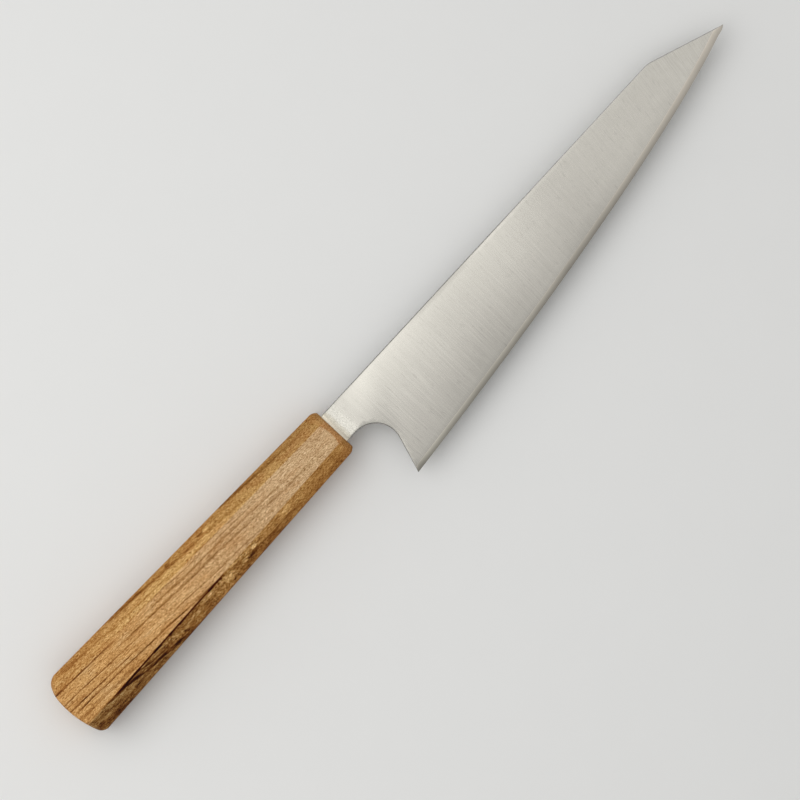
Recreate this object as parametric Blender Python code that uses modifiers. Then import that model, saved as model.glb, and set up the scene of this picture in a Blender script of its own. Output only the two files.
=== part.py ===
"""Honesuki boning knife: forged blade with hidden tang, octagonal handle and what seats one in the other.

Pieces are drawn from the centre of the handle's front face: +X to the point, +Y to the spine,
+Z out of the blade's right face. An empty then carries them to the middle of the knife's own box.
"""
import bisect
import math

import bmesh
import bpy

mm = 0.001

# Blade outline
heelX = 8.7 * mm  # heel ahead of the handle's front face
heelDrop = 30.15 * mm  # heel below the handle's axis
tipX = 187.4 * mm
tipDrop = 2.6 * mm
cornerX = 160.4 * mm  # where the spine breaks towards the point
cornerSoftening = 1.5 * mm  # half the length over which that break is eased
neckRise = 6.35 * mm  # spine above the axis at the neck
cornerRise = 6.95 * mm  # spine above the axis at the break
neckHeight = 12.15 * mm
notchRadius = 9.0 * mm  # finger notch between neck and heel
heelLean = math.radians(18.5)  # back of the heel, leaning to the point as it rises
bellyEndX = 182.7 * mm  # the long edge ends here and the point's upsweep starts
bellyEndDrop = 4.25 * mm
heelEdgeAngle = math.radians(5.1)
bellyEndAngle = math.radians(16.9)
tipEdgeAngle = math.radians(38.0)
heelPull = 80.0 * mm  # reach of the edge curve's handles
bellyPull = 30.0 * mm
upsweepPull = 1.8 * mm

# Blade section
neckThickness = 3.6 * mm
tipThickness = 1.8 * mm  # what the spine would measure if it ran on to the point
spineEase = 0.3 * mm  # small chamfer on both edges of the spine
heelBevelWidth = 1.85 * mm  # cutting bevel on the right face
tipBevelWidth = 2.4 * mm
backBevelWidth = 0.9 * mm  # cutting bevel on the left face
rightShoulder = 0.42 * mm  # right face from the middle plane, just above its bevel
leftShoulder = 0.22 * mm
edgeOffset = -0.06 * mm  # cutting edge from the middle plane, towards the left face
bevelCrown = 0.05 * mm  # how far the right bevel bulges
rightConvexity = 1.4  # 1 would be a flat grind
leftConvexity = 1.15
flatLength = 13.0 * mm  # ungrounded neck, measured forward and down
grindLength = 17.0 * mm  # over which the grind then takes over
grindDownShare = 0.6  # how fast it takes over downwards

# Tang
tangEndX = -86.0 * mm
tangHeight = 7.6 * mm
tangEndHeight = 4.6 * mm
tangThickness = 3.0 * mm
tangEndThickness = 2.2 * mm
tangRoot = 4.0 * mm  # how deep the tang's bar runs into the neck

# Handle
handleLength = 129.2 * mm
frontHeight = 18.66 * mm
buttHeight = 25.64 * mm
frontThickness = 15.8 * mm
buttThickness = 20.2 * mm
frontFacet = 8.3 * mm  # width of the two broad facets
buttFacet = 14.2 * mm
frontSide = 6.8 * mm  # width of the spine side's and edge side's facets
buttSide = 10.2 * mm
ridgeRadius = 0.6 * mm
frontEaseLength = 2.2 * mm  # the front edge rolls over: along the axis and inwards
frontEaseDepth = 1.3 * mm
frontEaseFullness = 1.5  # 1 is a straight chamfer and 2 a round
buttEaseLength = 2.2 * mm
buttEaseDepth = 2.2 * mm
buttEaseLift = 0.9 * mm  # the same on the broad facets
buttDomeRadius = 34.0 * mm  # the butt's dome seen from the right face
buttDomeShift = 1.5 * mm  # its highest point, towards the spine
buttSwellRadius = 70.0 * mm  # and seen from the spine
boreClearance = 0.3 * mm
boreEndClearance = 0.3 * mm

# Dowel, bedding and seal
dowelDiameter = 10.0 * mm
dowelPastBedding = 3.2 * mm  # how far the dowel runs on past the bedding
dowelSplit = 0.3 * mm  # glue gap between its two halves
fitClearance = 0.3 * mm
beddingThinnest = 0.5 * mm
beddingEnd = 2.5 * mm
sealLength = 0.6 * mm
sealThickness = 5.0 * mm
sealEase = 0.15 * mm

# Fineness of the mesh
bellySteps = 160
upsweepSteps = 40
grindSlices = 14
faceSlices = 22
breakSlices = 4
pointSlices = 8
tipSlices = 6
faceRows = 9
easeSteps = 5
facetSteps = 4
domeRings = 5
roundSegments = 40
notchSteps = 20
sharpAngle = math.radians(30)
cutMargin = 5.0 * mm
weldDistance = 1e-7

neckX = fitClearance + sealLength + fitClearance  # the neck's shoulders
slotHeight = tangHeight + 2 * fitClearance
slotThickness = tangThickness + 2 * fitClearance
boreRadius = dowelDiameter / 2 + boreClearance
buttX = -handleLength
dowelLength = -tangEndX + fitClearance + beddingEnd + dowelPastBedding
neckMiddle = neckRise - neckHeight / 2


def lerp(start, end, share):
    return start + (end - start) * share


def smooth(share):
    share = min(max(share, 0.0), 1.0)
    return share * share * (3 - 2 * share)


def bezier(points, steps):
    """Points along one cubic curve."""
    weights = [(1 - t, t) for t in (i / steps for i in range(steps + 1))]
    return [
        tuple(
            a**3 * p0 + 3 * a * a * t * p1 + 3 * a * t * t * p2 + t**3 * p3
            for p0, p1, p2, p3 in zip(*points)
        )
        for a, t in weights
    ]


def alongAngle(point, angle, reach):
    return (point[0] + reach, point[1] + reach * math.tan(angle))


def edgeCurve():
    """The cutting edge from heel to point: a long belly and a short upsweep."""
    heel = (heelX, -heelDrop)
    bellyEnd = (bellyEndX, -bellyEndDrop)
    tip = (tipX, -tipDrop)
    belly = bezier(
        (
            heel,
            alongAngle(heel, heelEdgeAngle, heelPull),
            alongAngle(bellyEnd, bellyEndAngle, -bellyPull),
            bellyEnd,
        ),
        bellySteps,
    )
    upsweep = bezier(
        (
            bellyEnd,
            alongAngle(bellyEnd, bellyEndAngle, upsweepPull),
            alongAngle(tip, tipEdgeAngle, -upsweepPull),
            tip,
        ),
        upsweepSteps,
    )
    return belly + upsweep[1:]


edgeLine = edgeCurve()
edgeXs = [point[0] for point in edgeLine]


def edgeY(x):
    """Height of the cutting edge, run on straight behind the heel."""
    if x <= heelX:
        return -heelDrop + (x - heelX) * math.tan(heelEdgeAngle)
    i = min(bisect.bisect_right(edgeXs, x), len(edgeLine) - 1)
    (x0, y0), (x1, y1) = edgeLine[i - 1], edgeLine[i]
    return lerp(y0, y1, (x - x0) / (x1 - x0))


def spineY(x):
    """Height of the straight spine, run on past the break."""
    return lerp(neckRise, cornerRise, x / cornerX)


def topY(x):
    """Height of the spine and, past its eased break, of the angled top to the point."""
    spineSlope = (cornerRise - neckRise) / cornerX
    pointSlope = (-tipDrop - cornerRise) / (tipX - cornerX)
    drop = spineSlope - pointSlope
    past = x - (cornerX - cornerSoftening)
    if past <= 0:
        return spineY(x)
    if past < 2 * cornerSoftening:
        return spineY(x) - drop * past**2 / (4 * cornerSoftening)
    return spineY(x) - drop * (x - cornerX)


def rightBevelWidth(x):
    return lerp(heelBevelWidth, tipBevelWidth, x / tipX)


def halfThickness(x, y, bevelWidth, shoulder, edge, convexity, crown):
    """One face's distance from the middle plane at a point of the blade."""
    spineHalf = lerp(neckThickness, tipThickness, max(x, 0) / tipX) / 2
    bevelTop = edgeY(x) + bevelWidth
    if y < bevelTop:
        share = (bevelTop - y) / bevelWidth
        ground = lerp(shoulder, edge, share) + crown * 4 * share * (1 - share)
    else:
        share = (spineY(x) - y) / (spineY(x) - bevelTop)
        ground = lerp(spineHalf, shoulder, max(share, 0.0) ** convexity)
    reach = x + grindDownShare * (spineY(x) - y)
    return lerp(spineHalf, ground, smooth((reach - flatLength) / grindLength))


def rightZ(x, y):
    return halfThickness(x, y, rightBevelWidth(x), rightShoulder, edgeOffset, rightConvexity, bevelCrown)


def leftZ(x, y):
    return -halfThickness(x, y, backBevelWidth, leftShoulder, -edgeOffset, leftConvexity, 0.0)


def faceHeights(x, bevelWidth, ease):
    """Heights of one face's rows, from just under the spine to halfway down the bevel."""
    low = edgeY(x)
    high = topY(x) - ease
    bevelTop = min(low + bevelWidth, high)
    rows = [lerp(high, bevelTop, i / faceRows) for i in range(faceRows + 1)]
    return rows + [(bevelTop + low) / 2]


def bladeSection(x):
    """One slice of the blade as a loop of points: down the right face and up the left."""
    top = topY(x)
    low = edgeY(x)
    ease = min(spineEase, (top - low) / 4)
    right = [(x, y, rightZ(x, y)) for y in faceHeights(x, rightBevelWidth(x), ease)]
    left = [(x, y, leftZ(x, y)) for y in reversed(faceHeights(x, backBevelWidth, ease))]
    easeIn = min(ease, right[0][2] / 2)
    rightTop = (x, top, right[0][2] - easeIn)
    leftTop = (x, top, left[-1][2] + easeIn)
    return [rightTop] + right + [(x, low, edgeOffset)] + left + [leftTop]


def bevelEndX():
    """Where the right bevel's upper line runs out into the angled top."""
    near, far = cornerX, tipX
    for _ in range(40):
        middle = (near + far) / 2
        if edgeY(middle) + rightBevelWidth(middle) < topY(middle) - spineEase:
            near = middle
        else:
            far = middle
    return near


def stations(start, end, count):
    return [lerp(start, end, i / count) for i in range(count)]


def bladeStations():
    grindEnd = flatLength + grindLength
    breakStart = cornerX - cornerSoftening
    breakEnd = cornerX + cornerSoftening
    bevelEnd = bevelEndX()
    return (
        stations(neckX, grindEnd, grindSlices)
        + stations(grindEnd, breakStart, faceSlices)
        + stations(breakStart, breakEnd, breakSlices)
        + stations(breakEnd, bevelEnd, pointSlices)
        + stations(bevelEnd, tipX, tipSlices)
        + [tipX]
    )


def meshOf(name, bm):
    """A mesh from a closed skin, its faces turned outwards."""
    bmesh.ops.recalc_face_normals(bm, faces=bm.faces)
    if bm.calc_volume(signed=True) < 0:
        bmesh.ops.reverse_faces(bm, faces=bm.faces)
    mesh = bpy.data.meshes.new(name)
    bm.to_mesh(mesh)
    bm.free()
    return mesh


def loftMesh(name, loops):
    """A closed skin over a row of like loops; loops that shrink to a point close by themselves."""
    bm = bmesh.new()
    rows = [[bm.verts.new(point) for point in loop] for loop in loops]
    count = len(loops[0])
    for near, far in zip(rows, rows[1:]):
        for i in range(count):
            j = (i + 1) % count
            bm.faces.new((near[i], near[j], far[j], far[i]))
    bm.faces.new(list(reversed(rows[0])))
    bm.faces.new(rows[-1])
    bmesh.ops.remove_doubles(bm, verts=bm.verts, dist=weldDistance)
    bmesh.ops.dissolve_degenerate(bm, dist=weldDistance, edges=bm.edges)
    return meshOf(name, bm)


def boxMesh(name, low, high):
    """A box between two corners, from a unit cube."""
    bm = bmesh.new()
    bmesh.ops.create_cube(bm, size=1.0)
    for vert in bm.verts:
        vert.co = [lerp(low[i], high[i], vert.co[i] + 0.5) for i in range(3)]
    return meshOf(name, bm)


def rodMesh(name, radius, startX, endX):
    """A round rod along X, from a cylinder stood on end."""
    bm = bmesh.new()
    length = endX - startX
    bmesh.ops.create_cone(
        bm, cap_ends=True, segments=roundSegments, radius1=radius, radius2=radius, depth=length
    )
    for vert in bm.verts:
        across, along, up = vert.co.x, vert.co.z, vert.co.y
        vert.co = (startX + length / 2 + along, across, up)
    return meshOf(name, bm)


def outlineMesh(name, points, thickness):
    """A flat outline filled and extruded evenly about the middle plane."""
    curve = bpy.data.curves.new(name, "CURVE")
    curve.dimensions = "2D"
    curve.fill_mode = "BOTH"
    curve.extrude = thickness / 2
    spline = curve.splines.new("POLY")
    spline.points.add(len(points) - 1)
    for target, (x, y) in zip(spline.points, points):
        target.co = (x, y, 0, 1)
    spline.use_cyclic_u = True
    drawn = bpy.data.objects.new(name, curve)
    bpy.context.scene.collection.objects.link(drawn)
    bpy.context.view_layer.update()
    filled = bpy.data.meshes.new_from_object(drawn.evaluated_get(bpy.context.evaluated_depsgraph_get()))
    bm = bmesh.new()
    bm.from_mesh(filled)
    bpy.data.objects.remove(drawn)
    bpy.data.curves.remove(curve)
    bpy.data.meshes.remove(filled)
    bmesh.ops.remove_doubles(bm, verts=bm.verts, dist=weldDistance)
    return meshOf(name, bm)


def material(name, colour, metallic, roughness):
    made = bpy.data.materials.new(name)
    made.use_nodes = True
    shader = made.node_tree.nodes["Principled BSDF"]
    shader.inputs["Base Color"].default_value = (*colour, 1)
    shader.inputs["Metallic"].default_value = metallic
    shader.inputs["Roughness"].default_value = roughness
    return made


def part(name, mesh, look, at=(0, 0, 0)):
    made = bpy.data.objects.new(name, mesh)
    made.location = at
    made.parent = knifeFrame
    mesh.materials.clear()
    mesh.materials.append(look)
    mesh.shade_smooth()
    mesh.set_sharp_from_angle(angle=sharpAngle)
    parts.objects.link(made)
    return made


def combine(target, other, operation):
    """Cut, or join, a helper shape into a part."""
    other.hide_render = True
    other.display_type = "WIRE"
    other.parent = target.parent
    cutters.objects.link(other)
    step = target.modifiers.new(other.name, "BOOLEAN")
    step.object = other
    step.operation = operation
    step.solver = "EXACT"


def helper(name, mesh):
    return bpy.data.objects.new(name, mesh)


def notchOutline():
    """Finger notch: under the neck, round its arc and down the leaning back of the heel."""
    neckLow = neckRise - neckHeight
    normal = (math.cos(heelLean), -math.sin(heelLean))
    middleY = neckLow - notchRadius
    touchY = middleY + notchRadius * normal[1]
    touchX = heelX + (touchY + heelDrop) * math.tan(heelLean)
    middleX = touchX - notchRadius * normal[0]
    sweep = math.pi / 2 + heelLean
    arc = [
        (
            middleX + notchRadius * math.sin(sweep * i / notchSteps),
            middleY + notchRadius * math.cos(sweep * i / notchSteps),
        )
        for i in range(notchSteps + 1)
    ]
    lowY = -heelDrop - cutMargin
    heelEnd = (heelX - cutMargin * math.tan(heelLean), lowY)
    return [(-cutMargin, neckLow)] + arc + [heelEnd, (-cutMargin, lowY)]


def tangMesh():
    """The tapered bar of the tang, from inside the neck to its end."""
    mesh = boxMesh("tang", (tangEndX, -0.5, -0.5), (neckX + tangRoot, 0.5, 0.5))
    for vert in mesh.vertices:
        share = (vert.co.x - neckX) / (tangEndX - neckX)
        vert.co.y *= lerp(tangHeight, tangEndHeight, share)
        vert.co.z *= lerp(tangThickness, tangEndThickness, share)
    return mesh


def buildBlade():
    blade = part("blade", loftMesh("blade", [bladeSection(x) for x in bladeStations()]), steel)
    notch = helper("finger_notch", outlineMesh("finger_notch", notchOutline(), neckThickness + 2 * cutMargin))
    combine(blade, notch, "DIFFERENCE")
    combine(blade, helper("tang", tangMesh()), "UNION")


def roundedCorner(before, corner, after, radius):
    """Three points that break one ridge of a section."""

    def towards(other):
        length = math.dist(corner, other)
        return tuple(lerp(c, o, radius / length) for c, o in zip(corner, other))

    first, last = towards(before), towards(after)
    middle = tuple((f + 2 * c + l) / 4 for f, c, l in zip(first, corner, last))
    return [first, middle, last]


def octagon(share, insetY, insetZ):
    """The handle's section at a share of its length, drawn in by two insets."""
    height = lerp(frontHeight, buttHeight, share) / 2
    thick = lerp(frontThickness, buttThickness, share) / 2
    tall, deep = height - insetY, thick - insetZ
    facet = lerp(frontFacet, buttFacet, share) / 2 * tall / height
    side = lerp(frontSide, buttSide, share) / 2 * deep / thick
    quarter = [(facet, deep), (tall, side)]
    corners = (
        quarter
        + [(y, -z) for y, z in reversed(quarter)]
        + [(-y, -z) for y, z in quarter]
        + [(-y, z) for y, z in reversed(quarter)]
    )
    count = len(corners)
    radius = ridgeRadius * deep / thick
    bends = [
        roundedCorner(corners[i - 1], corners[i], corners[(i + 1) % count], radius) for i in range(count)
    ]
    points = []
    for i, bend in enumerate(bends):
        start, end = bend[-1], bends[(i + 1) % count][0]
        points += bend
        points += [
            tuple(lerp(s, e, k / facetSteps) for s, e in zip(start, end)) for k in range(1, facetSteps)
        ]
    return points


def domeX(y, z):
    """How far the butt's dome falls back from its highest point."""
    return (y - buttDomeShift) ** 2 / (2 * buttDomeRadius) + z * z / (2 * buttSwellRadius)


def easeCurve(fullness):
    """Shares of an eased edge's length and depth, from its end face to its side."""
    turns = [math.pi / 2 * i / easeSteps for i in range(easeSteps + 1)]
    power = 2 / fullness
    return [(1 - math.cos(turn) ** power, 1 - math.sin(turn) ** power) for turn in turns]


def handleLoops():
    """The handle's sections from its front face to the middle of the domed butt."""
    loops = []
    for along, inwards in easeCurve(frontEaseFullness):
        x = -frontEaseLength * along
        inset = frontEaseDepth * inwards
        loops.append([(x, y, z) for y, z in octagon(-x / handleLength, inset, inset)])
    for along, inwards in reversed(easeCurve(2)):
        insets = (buttEaseDepth * inwards, buttEaseLift * inwards)
        xs = [buttX + buttEaseLength * along + domeX(y, z) for y, z in octagon(1, *insets)]
        loops.append([(x, *octagon(-x / handleLength, *insets)[i]) for i, x in enumerate(xs)])
    rim = loops[-1]
    for ring in range(1, domeRings + 1):
        scale = 1 - ring / domeRings
        loops.append([(buttX + domeX(y * scale, z * scale), y * scale, z * scale) for _, y, z in rim])
    return loops


def buildHandle():
    handle = part("handle_body", loftMesh("handle_body", handleLoops()), wood)
    boreEnd = -dowelLength - boreEndClearance
    combine(handle, helper("bore", rodMesh("bore", boreRadius, boreEnd, cutMargin)), "DIFFERENCE")


def buildDowel(side, name):
    """Half of the slotted dowel: side is 1 on the right face's side and -1 on the left's."""
    dowel = part(name, rodMesh(name, dowelDiameter / 2, -dowelLength, 0), beech)
    farX = -dowelLength - cutMargin
    farZ = -side * dowelDiameter
    other = boxMesh(
        name + "_split",
        (farX, -dowelDiameter, min(farZ, side * dowelSplit / 2)),
        (cutMargin, dowelDiameter, max(farZ, side * dowelSplit / 2)),
    )
    combine(dowel, helper(name + "_split", other), "DIFFERENCE")
    slot = boxMesh(
        name + "_slot",
        (farX, -slotHeight / 2, -slotThickness / 2),
        (cutMargin, slotHeight / 2, slotThickness / 2),
    )
    combine(dowel, helper(name + "_slot", slot), "DIFFERENCE")


def buildBedding():
    """Resin round the tang's tapered end, from where there is room for it."""
    outer = slotHeight / 2 - fitClearance

    def innerAt(x):
        share = (x - neckX) / (tangEndX - neckX)
        return lerp(tangHeight, tangEndHeight, share) / 2 + fitClearance

    room = outer - beddingThinnest
    startShare = (tangHeight / 2 + fitClearance - room) / ((tangHeight - tangEndHeight) / 2)
    startX = lerp(neckX, tangEndX, startShare)
    insideX = tangEndX - fitClearance
    farX = insideX - beddingEnd
    outline = [
        (startX, innerAt(startX)),
        (startX, outer),
        (farX, outer),
        (farX, -outer),
        (startX, -outer),
        (startX, -innerAt(startX)),
        (insideX, -innerAt(insideX)),
        (insideX, innerAt(insideX)),
    ]
    thickness = slotThickness - 2 * fitClearance
    part("tang_bedding", outlineMesh("tang_bedding", outline, thickness), amber)


def buildSeal():
    """Thin resin collar between the neck's shoulders and the handle's front face."""
    seal = part(
        "neck_seal",
        boxMesh(
            "neck_seal",
            (-sealLength / 2, -neckHeight / 2, -sealThickness / 2),
            (sealLength / 2, neckHeight / 2, sealThickness / 2),
        ),
        resin,
        (fitClearance + sealLength / 2, neckMiddle, 0),
    )
    ease = seal.modifiers.new("ease", "BEVEL")
    ease.width = sealEase
    ease.segments = 2
    hole = boxMesh(
        "seal_hole",
        (-cutMargin, -slotHeight / 2, -slotThickness / 2),
        (cutMargin, slotHeight / 2, slotThickness / 2),
    )
    combine(seal, helper("seal_hole", hole), "DIFFERENCE")


def knifeMiddle():
    """Middle of the knife's box seen from above, at the box's lowest point."""
    points = [point for loop in handleLoops() for point in loop]
    buttEnd = min(point[0] for point in points)
    spineSide = max(point[1] for point in points)
    under = min(point[2] for point in points)
    return ((tipX + buttEnd) / 2, (spineSide - heelDrop) / 2, under)


for old in list(bpy.data.objects):
    bpy.data.objects.remove(old)

scene = bpy.context.scene
parts = bpy.data.collections.new("Honesuki knife")
cutters = bpy.data.collections.new("Cutters")
scene.collection.children.link(parts)
scene.collection.children.link(cutters)

knifeFrame = bpy.data.objects.new("knife_frame", None)
knifeFrame.location = [-value for value in knifeMiddle()]
parts.objects.link(knifeFrame)

steel = material("satin_steel", (0.60, 0.585, 0.54), 1.0, 0.36)
wood = material("golden_oak", (0.50, 0.30, 0.13), 0.0, 0.55)
beech = material("beech_dowel", (0.62, 0.42, 0.25), 0.0, 0.6)
amber = material("cured_resin", (0.55, 0.38, 0.16), 0.0, 0.3)
resin = material("seal_resin", (0.62, 0.59, 0.52), 0.0, 0.3)

buildBlade()
buildHandle()
buildDowel(1, "tang_dowel_right")
buildDowel(-1, "tang_dowel_left")
buildBedding()
buildSeal()
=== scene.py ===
import math
from bisect import bisect

import bmesh
import bpy
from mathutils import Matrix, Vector
from mathutils.geometry import delaunay_2d_cdt
from mathutils.kdtree import KDTree


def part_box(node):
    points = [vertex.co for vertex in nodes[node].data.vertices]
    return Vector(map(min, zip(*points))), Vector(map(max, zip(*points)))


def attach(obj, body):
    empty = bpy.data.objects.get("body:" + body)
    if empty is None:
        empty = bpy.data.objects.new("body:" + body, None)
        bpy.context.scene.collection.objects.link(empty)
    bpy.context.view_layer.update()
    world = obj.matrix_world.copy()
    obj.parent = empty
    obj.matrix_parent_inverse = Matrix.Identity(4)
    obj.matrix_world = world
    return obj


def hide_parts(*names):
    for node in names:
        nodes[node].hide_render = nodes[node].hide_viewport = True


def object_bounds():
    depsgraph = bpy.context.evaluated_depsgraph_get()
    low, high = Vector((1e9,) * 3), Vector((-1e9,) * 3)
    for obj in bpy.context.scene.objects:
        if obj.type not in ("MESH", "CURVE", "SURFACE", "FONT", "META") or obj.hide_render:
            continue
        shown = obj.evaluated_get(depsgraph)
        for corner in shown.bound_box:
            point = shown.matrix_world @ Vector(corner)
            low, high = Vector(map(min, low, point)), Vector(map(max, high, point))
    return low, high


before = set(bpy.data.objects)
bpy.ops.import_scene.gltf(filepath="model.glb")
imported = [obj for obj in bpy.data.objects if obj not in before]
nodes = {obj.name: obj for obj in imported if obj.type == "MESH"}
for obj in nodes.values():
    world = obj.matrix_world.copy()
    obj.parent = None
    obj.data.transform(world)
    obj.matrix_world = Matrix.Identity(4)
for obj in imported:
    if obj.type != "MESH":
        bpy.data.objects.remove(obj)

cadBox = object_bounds()
mm = 0.001
nearEnough = 1e-4  # points within this many mm are merged
sharpAngle = math.radians(32)

# The knife is drawn from the middle of the handle's front face, as its CAD is:
# x to the point, y to the spine, z out of the right face, which lies upwards.
handleLow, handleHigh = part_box("handle_body")
knifeOrigin = Vector((handleHigh.x, (handleLow.y + handleHigh.y) / 2, (handleLow.z + handleHigh.z) / 2))
print("frame loaded, knife", [round(v / mm, 1) for v in cadBox[1] - cadBox[0]], "mm")


# reckoning with node sockets: field + 2 adds a Math node to the field's own tree

def feed(socket, value):
    if isinstance(value, tuple) and any(isinstance(part, Field) for part in value):
        # three numbers or fields make a vector
        parts = dict(zip("XYZ", value))
        value = addNode(socket.id_data, "ShaderNodeCombineXYZ", parts).outputs[0]
    if isinstance(value, Field):
        value = value.socket
    if isinstance(value, bpy.types.NodeSocket):
        socket.id_data.links.new(value, socket)
    elif socket.type == "RGBA":
        socket.default_value = (*value[:3], 1.0)
    else:
        socket.default_value = value


def mathNode(tree, operation, *values, clamp=False):
    node = tree.nodes.new("ShaderNodeMath")
    node.operation = operation
    node.use_clamp = clamp
    for socket, value in zip(node.inputs, values):
        feed(socket, value)
    return Field(node.outputs[0])


class Field:
    def __init__(self, socket):
        self.socket = socket
        self.tree = socket.id_data

    def math(self, operation, *others, clamp=False):
        return mathNode(self.tree, operation, self, *others, clamp=clamp)


signs = {"add": "ADD", "sub": "SUBTRACT", "mul": "MULTIPLY", "truediv": "DIVIDE", "mod": "MODULO"}
for sign, kind in signs.items():
    setattr(Field, f"__{sign}__", lambda me, other, kind=kind: me.math(kind, other))
    setattr(Field, f"__r{sign}__", lambda me, other, kind=kind: mathNode(me.tree, kind, other, me))


def between(start, end, share):
    return start + (end - start) * share


def held(field):
    return field.math("ADD", 0.0, clamp=True)


def addNode(tree, kind, inputs={}, **settings):
    node = tree.nodes.new(kind)
    for name, value in settings.items():
        setattr(node, name, value)
    for name, value in inputs.items():
        feed(node.inputs[name], value)
    return node


def ramp(field, low, high, toLow=0.0, toHigh=1.0):
    # a smooth step from toLow to toHigh
    values = {"Value": field, "From Min": low, "From Max": high, "To Min": toLow, "To Max": toHigh}
    node = addNode(field.tree, "ShaderNodeMapRange", values, interpolation_type="SMOOTHSTEP")
    return Field(node.outputs[0])


def within(field, first, last, fade):
    # 1 between two places, fading to 0 at both ends
    return ramp(field, first, first + fade) * ramp(field, last - fade, last, 1.0, 0.0)


def highest(fields):
    result = fields[0]
    for field in fields[1:]:
        result = result.math("MAXIMUM", field)
    return result


def noise(place, detail=2.0, roughness=0.5, scale=1.0, distortion=0.0):
    tree = place[0].tree if isinstance(place, tuple) else place.tree
    values = {"Vector": place, "Scale": scale, "Detail": detail, "Roughness": roughness}
    return Field(addNode(tree, "ShaderNodeTexNoise", {**values, "Distortion": distortion}).outputs[0])


def blendColour(share, first, second):
    node = addNode(share.tree, "ShaderNodeMix", data_type="RGBA", clamp_factor=True)
    for number, value in ((0, share), (6, first), (7, second)):
        feed(node.inputs[number], value)
    return node.outputs[2]


def newGroup(name, outputs, **inputs):
    # inputs gives each socket's usual value, and the value's length its kind
    group = bpy.data.node_groups.new(name, "ShaderNodeTree")
    for label, value in inputs.items():
        kind = "Float" if isinstance(value, float) else {3: "Vector", 4: "Color"}[len(value)]
        socket = group.interface.new_socket(label, in_out="INPUT", socket_type="NodeSocket" + kind)
        socket.default_value = value
    for label in outputs:
        kind = "Color" if label == "Colour" else "Float"
        group.interface.new_socket(label, in_out="OUTPUT", socket_type="NodeSocket" + kind)
    start = group.nodes.new("NodeGroupInput")
    return group, {label: Field(start.outputs[label]) for label in inputs}


def putOut(group, **results):
    end = group.nodes.new("NodeGroupOutput")
    for name, result in results.items():
        feed(end.inputs[name], result)
    return group


def useGroup(tree, group, **values):
    node = tree.nodes.new("ShaderNodeGroup")
    node.node_tree = group
    for name, value in values.items():
        feed(node.inputs[name], value)
    return {socket.name: Field(socket) for socket in node.outputs}


def axesOf(tree, place):
    return [Field(part) for part in addNode(tree, "ShaderNodeSeparateXYZ", {"Vector": place}).outputs]


def newFinish(name):
    # a material and its coordinates in mm from the middle of the handle's front face
    made = bpy.data.materials.new(name)
    made.use_nodes = True
    tree = made.node_tree
    place = addNode(tree, "ShaderNodeTexCoord").outputs["Object"]
    mapping = addNode(tree, "ShaderNodeMapping", {"Vector": place, "Scale": (1 / mm,) * 3})
    mapping.inputs["Location"].default_value = -knifeOrigin / mm
    return made, tree, Field(mapping.outputs[0]), axesOf(tree, mapping.outputs[0])


def finish(made, colour, metallic, roughness, relief, strength, depth):
    # relief is shaded as if it stood depth mm out of the surface
    values = {"Height": relief, "Strength": strength, "Distance": depth * mm}
    normal = addNode(made.node_tree, "ShaderNodeBump", values).outputs[0]
    values = {"Base Color": colour, "Metallic": metallic, "Roughness": roughness, "Normal": normal}
    for name, value in values.items():
        feed(made.node_tree.nodes["Principled BSDF"].inputs[name], value)
    return made


# effects that several materials share

def makeFibreGroup():
    # long fibres, short flecks, blotches and open pores in wood whose grain runs along x
    sizes = {"FibreWidth": 0.46, "FibreLength": 17.0, "FleckWidth": 0.22, "FleckLength": 0.8}
    outputs = ["Fibre", "Flecks", "Blotches", "Pores"]
    group, given = newGroup("woodFibre", outputs, Place=(0, 0, 0), PoreShare=0.26, **sizes)
    x, y, z = axesOf(group, given["Place"])

    def drawnOut(length, width):
        # in mm along and across the grain
        return (x / length, y / width, z / width)

    def grained(length, width, detail, roughness):
        return noise(drawnOut(length, width), detail, roughness) - 0.5

    # one pore in each cell, drawn out along the grain
    cells = addNode(group, "ShaderNodeTexVoronoi", {"Vector": drawnOut(2.2, 0.7), "Scale": 1.0})
    pore = Field(cells.outputs["Distance"]) + grained(0.5, 0.3, 1.0, 0.4) * 0.25
    return putOut(
        group,
        Fibre=grained(given["FibreLength"], given["FibreWidth"], 4.0, 0.65),
        Flecks=grained(given["FleckLength"], given["FleckWidth"], 2.0, 0.6),
        Blotches=grained(4.2, 1.25, 2.0, 0.55),
        Pores=ramp(pore, given["PoreShare"] * 0.6, given["PoreShare"], 1.0, 0.0),
    )


def makeToneGroup():
    # darkens or lightens a colour; what darkens wood also deepens its hue
    grey = (0.8, 0.8, 0.8, 1.0)
    group, given = newGroup("deepenTone", ["Colour"], Colour=grey, Tone=1.0, Deepen=0.3)
    tone = given["Tone"].math("MAXIMUM", 0.02)
    green = tone.math("POWER", 1.0 + given["Deepen"] * 0.8)
    blue = tone.math("POWER", 1.0 + given["Deepen"] * 2.0)
    parts = addNode(group, "ShaderNodeSeparateColor", {"Color": given["Colour"]}).outputs
    red, green, blue = [Field(part) * change for part, change in zip(parts, (tone, green, blue))]
    tinted = addNode(group, "ShaderNodeCombineColor", {"Red": red, "Green": green, "Blue": blue})
    return putOut(group, Colour=tinted.outputs[0])


def makeGrowthLineGroup():
    # one dark growth line where Level passes At, hard on one side and soft on the other
    shape = {"Level": 0.0, "At": 0.0, "Width": 0.3, "Soft": 0.5, "Strength": 1.0}
    group, given = newGroup("growthLine", ["Line"], **shape, Along=0.0, From=-140.0, Till=10.0)
    startFade, endFade = 10.0, 14.0
    off, width, along = given["Level"] - given["At"], given["Width"], given["Along"]
    hard = ramp(off, width * -1.0, width * -0.4)
    soft = ramp(off, width * 0.4, width * 0.4 + given["Soft"], 1.0, 0.0)
    starts = ramp(along, given["From"], given["From"] + startFade)
    ends = ramp(along, given["Till"] - endFade, given["Till"], 1.0, 0.0)
    return putOut(group, Line=hard * soft * starts * ends * given["Strength"])


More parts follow.
